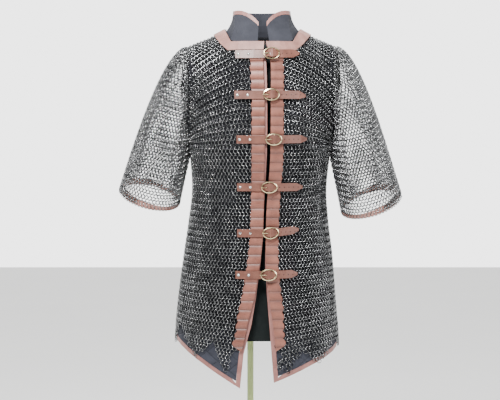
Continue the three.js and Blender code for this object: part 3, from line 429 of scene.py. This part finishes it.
def ring_place(point, along, out, lean, loose):
    """A ring's centre and axes: it leans about the upright, one way in even rows and the other in odd."""
    upright = out.cross(along).normalized()
    turn = Matrix.Rotation(lean * RING_TILT * loose, 3, upright)
    droop = Matrix.Rotation(RING_DROOP, 3, along)
    spin = turn @ droop
    centre = point - out * RING_DEPTH
    return centre, spin @ along, spin @ upright, spin @ out


# Mail on the body
def row_samples(side, face, height_of, count=110):
    samples = []
    run, before = 0.0, None
    for i in range(count + 1):
        column = LAST_COLUMN * i / count
        level = height_of(column, run)
        point = panel_point(side, face, "mail", column, level)
        if before is not None:
            run += (point - before).length
        before = point
        samples.append((run, column, level))
    return samples


def at_run(samples, run):
    low, high = 0, len(samples) - 1
    while high - low > 1:
        middle = (low + high) // 2
        if samples[middle][0] <= run:
            low = middle
        else:
            high = middle
    a, b = samples[low], samples[high]
    t = (run - a[0]) / max(b[0] - a[0], 1e-9)
    return mix(a[1], b[1], t), mix(a[2], b[2], t)


def row_rings(side, face, samples, pitch, odd, start, wanted):
    places = []
    run = start + (pitch / 2 if odd else 0)
    while run < samples[-1][0] - 0.5:
        column, level = at_run(samples, run)
        if wanted(column, level, run):
            point, along, out = panel_frame(side, face, "mail", min(column, LAST_COLUMN - 0.05), level)
            places.append(ring_place(point, along, out, 1 if odd else -1, BODY_LOOSE))
        run += pitch
    return places


def neck_line(side, face):
    return [
        panel_point(side, face, "mail", column, neck_level(face, column))
        for column in (0, 1, 2, 2.5, 3, 3.25, 3.5, 3.75, 4)
    ]


def body_rings(side, face):
    neck = neck_line(side, face)
    places = []
    start = FRONT_MARGIN if face < 0 else 0.0

    def below(column, level, run):
        height = UNDERARM + level
        if face < 0 and run < COVERED_BY_STRIP and height > STRIP_FOOT:
            return False
        return height > hem_height(side, face, column) + CLEAR_OF_HEM

    def above(column, level, run):
        if face < 0 and run < COVERED_BY_STRIP:
            return False
        if column < NECK_COLUMN and level > neck_level(face, column):
            return False
        point = panel_point(side, face, "mail", column, level)
        if column < NECK_COLUMN + 1 and min((point - p).length for p in neck) < CLEAR_OF_NECK:
            return False
        return True

    for i in range(UPPER_MAIL_ROWS):
        level = (i + 0.5) / UPPER_MAIL_ROWS
        samples = row_samples(side, face, lambda column, run: level)
        pitch = table_value(ROW_PITCH, UNDERARM, "ring")
        places += row_rings(side, face, samples, pitch, i % 2 == 0, start, above)
    height = UNDERARM - table_value(ROW_PITCH, UNDERARM, "row") / 2
    i = 0
    while height > LOWEST_ROW:
        slope = SKIRT_RISE[side] * smooth(SKIRT_RISE_TOP - height, 0, 300) if face < 0 else 0

        def level_along(column, run, height=height, slope=slope):
            rise = slope * SKIRT_RISE_REACH * (1 - math.exp(-run / SKIRT_RISE_REACH))
            return height + rise - UNDERARM

        samples = row_samples(side, face, level_along)
        pitch = table_value(ROW_PITCH, height, "ring")
        places += row_rings(side, face, samples, pitch, i % 2 == 1, start, below)
        height -= table_value(ROW_PITCH, height, "row")
        i += 1
    return places


# Mail on the sleeves: rows run round the arm and are counted up from the cuff
def sleeve_rings(side):
    places = []
    for k in range(SLEEVE_LINES):
        for odd in (0, 1):
            turn = (k + odd / 2) / SLEEVE_LINES * 2
            face = -1 if turn < 1 else 1
            q = turn if turn < 1 else 2 - turn
            steps = 60
            points = [sleeve_point(side, face, q, 1 - i / steps) for i in range(steps + 1)]
            runs = [0.0]
            for a, b in zip(points, points[1:]):
                runs.append(runs[-1] + (b - a).length)
            row = odd
            while (row + 0.6) * SLEEVE_ROW < runs[-1] - 1:
                target = (row + 0.6) * SLEEVE_ROW
                i = next(j for j in range(steps) if runs[j + 1] >= target)
                share = (target - runs[i]) / (runs[i + 1] - runs[i])
                along = 1 - (i + share) / steps
                point = sleeve_point(side, face, q, along)
                lower = sleeve_point(side, face, q, min(along + 0.01, 1))
                down = lower - sleeve_point(side, face, q, along - 0.01)
                q0, q1 = max(q - 0.01, 0), min(q + 0.01, 1)
                around = sleeve_point(side, face, q1, along) - sleeve_point(side, face, q0, along)
                out = (down.cross(around) * (side * face)).normalized()
                place = ring_place(point, around.normalized(), out, 1 if odd else -1, SLEEVE_LOOSE)
                places.append(place)
                row += 2
    return places


# Shader helpers
def new_material(name, **values):
    look = bpy.data.materials.new(name)
    look.use_nodes = True
    shader = look.node_tree.nodes["Principled BSDF"]
    for key, value in values.items():
        shader.inputs[key.replace("_", " ")].default_value = value
    return look, look.node_tree, shader


def group_tree(name, inputs, outputs):
    tree = bpy.data.node_groups.new(name, "ShaderNodeTree")
    for label, kind, value in inputs:
        socket = tree.interface.new_socket(name=label, in_out="INPUT", socket_type=kind)
        socket.default_value = value
    for label, kind in outputs:
        tree.interface.new_socket(name=label, in_out="OUTPUT", socket_type=kind)
    return tree, tree.nodes.new("NodeGroupInput"), tree.nodes.new("NodeGroupOutput")


def add_node(tree, kind, **settings):
    node = tree.nodes.new(kind)
    for key, value in settings.items():
        setattr(node, key, value)
    return node


def math_node(tree, operation, a, b=0.5):
    node = add_node(tree, "ShaderNodeMath", operation=operation)
    for socket, value in zip(node.inputs, (a, b)):
        if isinstance(value, (int, float)):
            socket.default_value = value
        else:
            tree.links.new(value, socket)
    return node.outputs[0]


def grain_group():
    """Two shades mixed by a coarse and a fine noise, and a height that follows the fine one."""
    tree, source, sink = group_tree(
        "grain",
        [
            ("Dark", "NodeSocketColor", (0.1, 0.1, 0.1, 1)),
            ("Light", "NodeSocketColor", (0.5, 0.5, 0.5, 1)),
            ("Patch Scale", "NodeSocketFloat", 20.0),
            ("Grain Scale", "NodeSocketFloat", 600.0),
            ("Contrast", "NodeSocketFloat", 1.0),
        ],
        [("Color", "NodeSocketColor"), ("Height", "NodeSocketFloat"), ("Mask", "NodeSocketFloat")],
    )
    place = add_node(tree, "ShaderNodeTexCoord")
    patch = add_node(tree, "ShaderNodeTexNoise")
    patch.inputs["Detail"].default_value = 3
    fine = add_node(tree, "ShaderNodeTexNoise")
    fine.inputs["Detail"].default_value = 4
    for noise, label in ((patch, "Patch Scale"), (fine, "Grain Scale")):
        tree.links.new(place.outputs["Object"], noise.inputs["Vector"])
        tree.links.new(source.outputs[label], noise.inputs["Scale"])
    half = math_node(tree, "MULTIPLY", fine.outputs[0], 0.4)
    both = math_node(tree, "ADD", math_node(tree, "MULTIPLY", patch.outputs[0], 0.6), half)
    centred = math_node(tree, "SUBTRACT", both, 0.5)
    strong = math_node(tree, "MULTIPLY", centred, source.outputs["Contrast"])
    mask = add_node(tree, "ShaderNodeMapRange")
    mask.inputs["From Min"].default_value = -0.25
    mask.inputs["From Max"].default_value = 0.25
    tree.links.new(strong, mask.inputs["Value"])
    blend = add_node(tree, "ShaderNodeMix", data_type="RGBA")
    tree.links.new(mask.outputs[0], blend.inputs["Factor"])
    tree.links.new(source.outputs["Dark"], blend.inputs["A"])
    tree.links.new(source.outputs["Light"], blend.inputs["B"])
    tree.links.new(blend.outputs["Result"], sink.inputs["Color"])
    tree.links.new(fine.outputs[0], sink.inputs["Height"])
    tree.links.new(mask.outputs[0], sink.inputs["Mask"])
    return tree


grain = grain_group()


def grained(name, dark, light, patch=20, fine=600, contrast=1.0, bump=0.0, bump_distance=0.0003, **values):
    look, tree, shader = new_material(name, **values)
    group = add_node(tree, "ShaderNodeGroup", node_tree=grain)
    group.inputs["Dark"].default_value = (*dark, 1)
    group.inputs["Light"].default_value = (*light, 1)
    group.inputs["Patch Scale"].default_value = patch
    group.inputs["Grain Scale"].default_value = fine
    group.inputs["Contrast"].default_value = contrast
    tree.links.new(group.outputs["Color"], shader.inputs["Base Color"])
    if bump:
        relief = add_node(tree, "ShaderNodeBump")
        relief.inputs["Strength"].default_value = bump
        relief.inputs["Distance"].default_value = bump_distance
        tree.links.new(group.outputs["Height"], relief.inputs["Height"])
        tree.links.new(relief.outputs[0], shader.inputs["Normal"])
    return look, tree, shader, group


steel = grained(
    "blackened_steel", (0.060, 0.062, 0.066), (0.40, 0.405, 0.41), patch=45, fine=220, contrast=1.3,
    Metallic=1.0, Roughness=0.24,
)[0]
pale_leather = grained(
    "pale_leather", (0.15, 0.060, 0.047), (0.42, 0.22, 0.18), patch=38, fine=700, bump=0.5, Roughness=0.55,
)[0]
brown_leather = grained(
    "brown_leather", (0.075, 0.026, 0.018), (0.21, 0.085, 0.060), patch=40, fine=900, bump=0.5, Roughness=0.4,
)[0]
binding_leather = grained(
    "binding_leather", (0.17, 0.065, 0.055), (0.36, 0.17, 0.145), patch=35, fine=800, bump=0.5, Roughness=0.5,
)[0]
scallop_leather, scallop_tree, scallop_shader, scallop_group = grained(
    "scallop_leather", (0.11, 0.034, 0.023), (0.32, 0.125, 0.088), patch=30, fine=800, bump=0.5,
    Roughness=0.42,
)


def scallop_shade(tree, colour, shader):
    """Each scallop is painted darkest in the notch under it, as painted shade, over a bump that follows the
    same arch.
    """
    place = add_node(tree, "ShaderNodeTexCoord")
    split = add_node(tree, "ShaderNodeSeparateXYZ")
    tree.links.new(place.outputs["Object"], split.inputs[0])
    run = math_node(tree, "SUBTRACT", SCALLOP_TOP, split.outputs["Z"])
    turn = math_node(tree, "MULTIPLY", run, math.pi / SCALLOP_PITCH)
    arch = math_node(tree, "POWER", math_node(tree, "ABSOLUTE", math_node(tree, "SINE", turn)), 0.6)
    # painted shade: the colour is darkened towards each notch
    blend = add_node(tree, "ShaderNodeMix", data_type="RGBA", blend_type="MULTIPLY")
    tree.links.new(math_node(tree, "SUBTRACT", 1.0, arch), blend.inputs["Factor"])
    tree.links.new(colour, blend.inputs["A"])
    blend.inputs["B"].default_value = SCALLOP_PAINTED_SHADE
    tree.links.new(blend.outputs["Result"], shader.inputs["Base Color"])
    relief = add_node(tree, "ShaderNodeBump")
    relief.inputs["Strength"].default_value = 0.8
    relief.inputs["Distance"].default_value = SCALLOP_RELIEF
    tree.links.new(arch, relief.inputs["Height"])
    tree.links.new(relief.outputs[0], shader.inputs["Normal"])


scallop_shade(scallop_tree, scallop_group.outputs["Color"], scallop_shader)
brass = grained(
    "pale_brass", (0.55, 0.42, 0.22), (0.80, 0.68, 0.44), patch=60, fine=900, Metallic=1.0, Roughness=0.26,
)[0]
nickel = grained(
    "nickel", (0.5, 0.5, 0.48), (0.75, 0.75, 0.73), patch=60, fine=900, Metallic=1.0, Roughness=0.25,
)[0]
black_knit = grained(
    "black_knit", (0.003, 0.005, 0.005), (0.010, 0.013, 0.013), patch=60, fine=2400, bump=0.4, Roughness=0.9,
    Specular_IOR_Level=0.15,
)[0]
pole_paint = grained(
    "pale_olive_paint", (0.33, 0.41, 0.15), (0.43, 0.51, 0.22), patch=15, fine=300, Roughness=0.55,
)[0]
thread = grained(
    "thread", (0.10, 0.04, 0.03), (0.22, 0.10, 0.08), patch=100, fine=2000, Roughness=0.8,
)[0]
# painted shade: near-black discs stand for the shade inside the punched strap holes
hole_painted_shade = grained("punched_hole_painted_shade", (0.02, 0.01, 0.01), (0.04, 0.02, 0.02), Roughness=0.9)[0]
floor_paint = grained(
    "floor_paint", (0.80, 0.80, 0.79), (0.84, 0.84, 0.83), patch=2, fine=40, Roughness=0.8,
)[0]


def paint_shade_by_height(tree, colour, shader, low, high, shade):
    """Paints shade: multiplies a colour by a darker shade that fades in between two heights of the object."""
    place = add_node(tree, "ShaderNodeTexCoord")
    split = add_node(tree, "ShaderNodeSeparateXYZ")
    tree.links.new(place.outputs["Object"], split.inputs[0])
    fade = add_node(tree, "ShaderNodeMapRange")
    fade.inputs["From Min"].default_value = low
    fade.inputs["From Max"].default_value = high
    tree.links.new(split.outputs["Z"], fade.inputs["Value"])
    blend = add_node(tree, "ShaderNodeMix", data_type="RGBA", blend_type="MULTIPLY")
    tree.links.new(fade.outputs[0], blend.inputs["Factor"])
    tree.links.new(colour, blend.inputs["A"])
    blend.inputs["B"].default_value = (shade, shade, shade, 1)
    tree.links.new(blend.outputs["Result"], shader.inputs["Base Color"])


def quilt_lines(tree, shader, tile):
    """Raised lozenges between crossing rows of stitches that climb to both sides."""
    place = add_node(tree, "ShaderNodeTexCoord")
    split = add_node(tree, "ShaderNodeSeparateXYZ")
    tree.links.new(place.outputs["Object"], split.inputs[0])
    lean = math_node(tree, "MULTIPLY", split.outputs["X"], 0.8)
    waves = []
    for way in ("ADD", "SUBTRACT"):
        run = math_node(tree, way, split.outputs["Z"], lean)
        angle = math_node(tree, "MULTIPLY", run, math.pi / tile)
        waves.append(math_node(tree, "ABSOLUTE", math_node(tree, "SINE", angle)))
    lozenge = math_node(tree, "POWER", math_node(tree, "MINIMUM", waves[0], waves[1]), 0.5)
    relief = add_node(tree, "ShaderNodeBump")
    relief.inputs["Strength"].default_value = 1.0
    relief.inputs["Distance"].default_value = QUILT_RELIEF
    tree.links.new(lozenge, relief.inputs["Height"])
    tree.links.new(relief.outputs[0], shader.inputs["Normal"])


def quilt_material(name, dark, light, tile):
    """Dark slate cloth, quilted, with painted shade where the mail lies over it."""
    look, tree, shader, group = grained(
        name, dark, light, patch=25, fine=1500, Roughness=0.9, Specular_IOR_Level=0.2,
    )
    if tile:
        # painted shade: the lining is darker above the heights where the mail covers it
        paint_shade_by_height(tree, group.outputs["Color"], shader, *PAINTED_SHADE_FADE, PAINTED_SHADE_FACTOR)
        quilt_lines(tree, shader, tile)
    return look


slate = quilt_material("quilted_slate", (0.022, 0.024, 0.032), (0.048, 0.050, 0.066), QUILT_TILE)
collar_slate = quilt_material("collar_slate", (0.018, 0.019, 0.025), (0.045, 0.047, 0.058), 0)

# Mail pieces
ring = template_arrays(template_ring(RING_RADIUS, WIRE_RADIUS, RING_SPANS, WIRE_SIDES))
sleeve_ring = template_arrays(template_ring(RING_RADIUS, SLEEVE_WIRE_RADIUS, RING_SPANS, WIRE_SIDES))
mail_pieces = [
    ("rings_front_left", body_rings(-1, -1), ["mail_front_left"]),
    ("rings_front_right", body_rings(1, -1), ["mail_front_right"]),
    ("rings_back_left", body_rings(-1, 1), ["mail_back"]),
    ("rings_back_right", body_rings(1, 1), ["mail_back"]),
    ("rings_sleeve_left", sleeve_rings(-1), ["mail_sleeve_left"]),
    ("rings_sleeve_right", sleeve_rings(1), ["mail_sleeve_right"]),
]
for name, places, replaced in mail_pieces:
    shape = sleeve_ring if "sleeve" in name else ring
    keep(joined_copies(name, shape, places), replaced, steel)

# Finish of the solids that stay
for name, node in nodes.items():
    if name.startswith(("cuff_band", "neck_band")):
        look = pale_leather
    elif name.startswith(("lining_binding", "collar_binding")):
        look = binding_leather
    elif name.startswith("scallop"):
        look = scallop_leather
    elif name.startswith(("strap", "chape")):
        look = brown_leather
    elif name == "lining_collar":
        look = collar_slate
    elif name.startswith("lining"):
        look = slate
    elif name == "dress_form":
        look = black_knit
    elif name in ("pole", "base"):
        look = pole_paint
    else:
        continue
    node.data.materials.clear()
    node.data.materials.append(look)

for name in nodes:
    if name.startswith(("buckle", "prong")):
        keep(smooth_copy(name, 60), [name], brass)
    elif name.startswith("rivet"):
        keep(smooth_copy(name, 50), [name], nickel)



def face_finder(node_name):
    """Finds the point of a solid that faces the viewer at a given x and height, in millimetres."""
    mesh = nodes[node_name].data
    tree = BVHTree.FromPolygons([v.co[:] for v in mesh.vertices], [p.vertices[:] for p in mesh.polygons])

    def find(x, z):
        hit, normal = tree.ray_cast(Vector((x * MM, -1, z * MM)), Vector((0, 1, 0)))[:2]
        if hit is None:
            return None
        return Vector((hit.x / MM - HANG_ASIDE, hit.y / MM, hit.z / MM)), normal

    return find


def stitch_places(side):
    find = face_finder("scallop_strip_left" if side < 0 else "scallop_strip_right")
    places = []
    height = SCALLOP_TOP / MM - 6
    while height > STITCHED_DOWN_TO:
        spots = [
            find(edge_x(side, "mail", z) + side * STITCH_LINE + HANG_ASIDE, z)
            for z in (height, height - 2)
        ]
        if all(spots):
            down = (spots[1][0] - spots[0][0]).normalized()
            out = spots[0][1]
            places.append((spots[0][0] + out * 0.2, down, out.cross(down), out))
        height -= STITCH_PITCH
    return places


stitch = template_arrays(template_stitch(*STITCH_SIZE))
both_strips = stitch_places(-1) + stitch_places(1)
keep(joined_copies("strip_stitches", stitch, both_strips), [], thread)


def hole_places():
    places = []
    for count in range(1, STRAP_COUNT + 1):
        find = face_finder(f"strap_{count}")
        low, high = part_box(f"strap_{count}")
        buckle_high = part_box(f"buckle_{count}")[1]
        height = (low.z + high.z) / 2 / MM
        x = buckle_high.x / MM + HOLES_FROM_BUCKLE
        while x < high.x / MM - HOLES_FROM_TIP:
            spot = find(x, height)
            if spot:
                centre, out = spot
                along = Vector((1, 0, 0))
                places.append((centre + out * ABOVE_LEATHER, along, out.cross(along), out))
            x += HOLE_PITCH
    return places


def template_disc(radius, sides):
    bm = bmesh.new()
    bmesh.ops.create_cone(
        bm, cap_ends=True, cap_tris=True, segments=sides, radius1=radius, radius2=radius, depth=0.1,
    )
    bmesh.ops.triangulate(bm, faces=bm.faces)
    return bm


holes = template_arrays(template_disc(HOLE_RADIUS, 12))
# dark discs laid on the straps: painted shade where the holes are
keep(joined_copies("strap_holes", holes, hole_places()), [], hole_painted_shade)


def loose_rings():
    """Three short ends of chain under the right front dag."""
    places = []
    for column, top, links in ((0.25, 609, 3), (0.45, 612, 2), (0.7, 613, 3)):
        for i in range(links):
            height = top - i * 7.5
            point, along, out = panel_frame(1, -1, "mail", column, height - UNDERARM)
            places.append(ring_place(point, along, out, 1 if i % 2 else -1, END_LOOSE))
    return places


keep(joined_copies("rings_loose", ring, loose_rings()), [], steel)

# Floor, light and camera
bm = bmesh.new()
bmesh.ops.create_grid(bm, x_segments=1, y_segments=1, size=6)
floor = object_from("floor", bm)
floor.data.materials.append(floor_paint)


def area_light(name, place, target, size, power, colour=(1, 1, 1)):
    light = bpy.data.lights.new(name, "AREA")
    light.shape = "SQUARE"
    light.size = size
    light.energy = power
    light.color = colour
    lamp = bpy.data.objects.new(name, light)
    lamp.location = place
    lamp.rotation_euler = (Vector(target) - Vector(place)).to_track_quat("-Z", "Y").to_euler()
    bpy.context.scene.collection.objects.link(lamp)


area_light("key", (-0.5, -1.4, 2.7), (0, 0, 1.25), 0.6, 130)
area_light("fill", (1.6, -2.0, 1.6), (0, 0, 1.0), 0.8, 26)
area_light("rim", (0.4, 1.8, 2.2), (0, 0, 1.1), 1.0, 10)

def studio_world(front, back):
    """Light from all round: a bright backdrop behind the figure and a dim room in front of it."""
    world = bpy.data.worlds.new("studio")
    world.use_nodes = True
    tree = world.node_tree
    place = add_node(tree, "ShaderNodeTexCoord")
    split = add_node(tree, "ShaderNodeSeparateXYZ")
    tree.links.new(place.outputs["Generated"], split.inputs[0])
    fade = add_node(tree, "ShaderNodeMapRange")
    fade.inputs["From Min"].default_value = -0.3
    fade.inputs["From Max"].default_value = 0.7
    fade.inputs["To Min"].default_value = front
    fade.inputs["To Max"].default_value = back
    tree.links.new(split.outputs["Y"], fade.inputs["Value"])
    background = tree.nodes["Background"]
    background.inputs["Color"].default_value = (1.0, 1.0, 1.0, 1)
    tree.links.new(fade.outputs[0], background.inputs["Strength"])
    bpy.context.scene.world = world


studio_world(0.25, 3.6)

CAMERA_PLACE = (-0.001, -2.8, 1.2)
CAMERA_TARGET = (-0.001, 0, 0.9875)
camera_data = bpy.data.cameras.new("camera")
camera_data.lens = 80.87
camera_data.sensor_width = 36
camera = bpy.data.objects.new("camera", camera_data)
camera.location = CAMERA_PLACE
camera.rotation_euler = (Vector(CAMERA_TARGET) - Vector(CAMERA_PLACE)).to_track_quat("-Z", "Y").to_euler()
bpy.context.scene.collection.objects.link(camera)
bpy.context.scene.camera = camera
